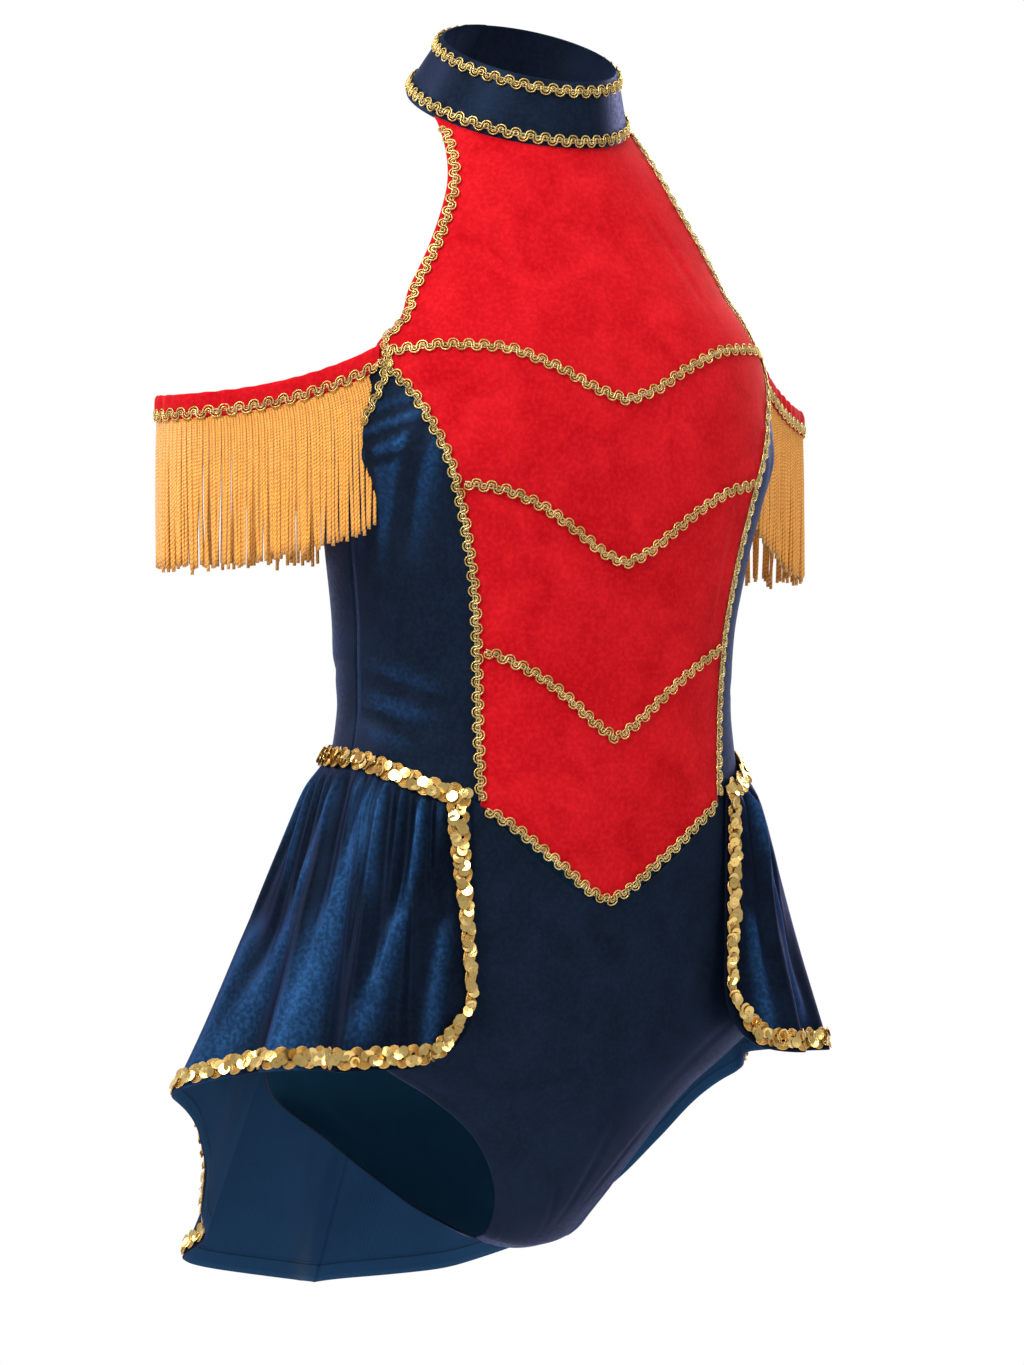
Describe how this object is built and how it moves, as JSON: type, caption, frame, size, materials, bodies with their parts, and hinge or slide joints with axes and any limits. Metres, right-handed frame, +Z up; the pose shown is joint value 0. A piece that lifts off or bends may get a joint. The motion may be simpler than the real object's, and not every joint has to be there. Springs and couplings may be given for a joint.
{
  "type": "ringmaster costume",
  "caption": "Velvet stage costume: halter leotard with stand collar, fringed off-shoulder arm bands and a gathered high-low peplum tail.",
  "frame": {"origin": "middle of the stand collar, where the neck holds the costume", "axes": "+Z up, -Y the way the wearer faces, +X to the wearer's left"},
  "size_m": [0.4266, 0.3387, 0.7388],
  "materials": {
    "red_velvet": "stretch velvet, short pile",
    "blue_velvet": "stretch velvet, short pile",
    "gold_braid": "scroll braid of metallic thread",
    "gold_sequin": "flat round sequins on a metallic braid",
    "gold_fringe": "twisted satin fringe"
  },
  "bodies": {
    "root": {"collar_band": "blue_velvet", "collar_braid_top": "gold_braid", "collar_braid_bottom": "gold_braid", "front_yoke": "red_velvet", "front_bust": "red_velvet", "front_midriff": "red_velvet", "front_point": "red_velvet", "side_front_R": "blue_velvet", "side_front_L": "blue_velvet", "back_R": "blue_velvet", "back_L": "blue_velvet", "brief_front": "blue_velvet", "brief_back": "blue_velvet", "braid_yoke": "gold_braid", "braid_bust": "gold_braid", "braid_midriff": "gold_braid", "braid_point": "gold_braid", "braid_princess_R": "gold_braid", "braid_princess_L": "gold_braid", "braid_edge_R": "gold_braid", "braid_edge_L": "gold_braid", "tail_skirt_R": "blue_velvet", "tail_skirt_L": "blue_velvet", "sequin_hem_R": "gold_sequin", "sequin_hem_L": "gold_sequin", "sequin_waist_R": "gold_sequin", "sequin_waist_L": "gold_sequin", "arm_band_R": "red_velvet", "arm_band_L": "red_velvet", "braid_arm_R": "gold_braid", "braid_arm_L": "gold_braid", "fringe_R": "gold_fringe", "fringe_L": "gold_fringe"}
  },
  "joints": []
}
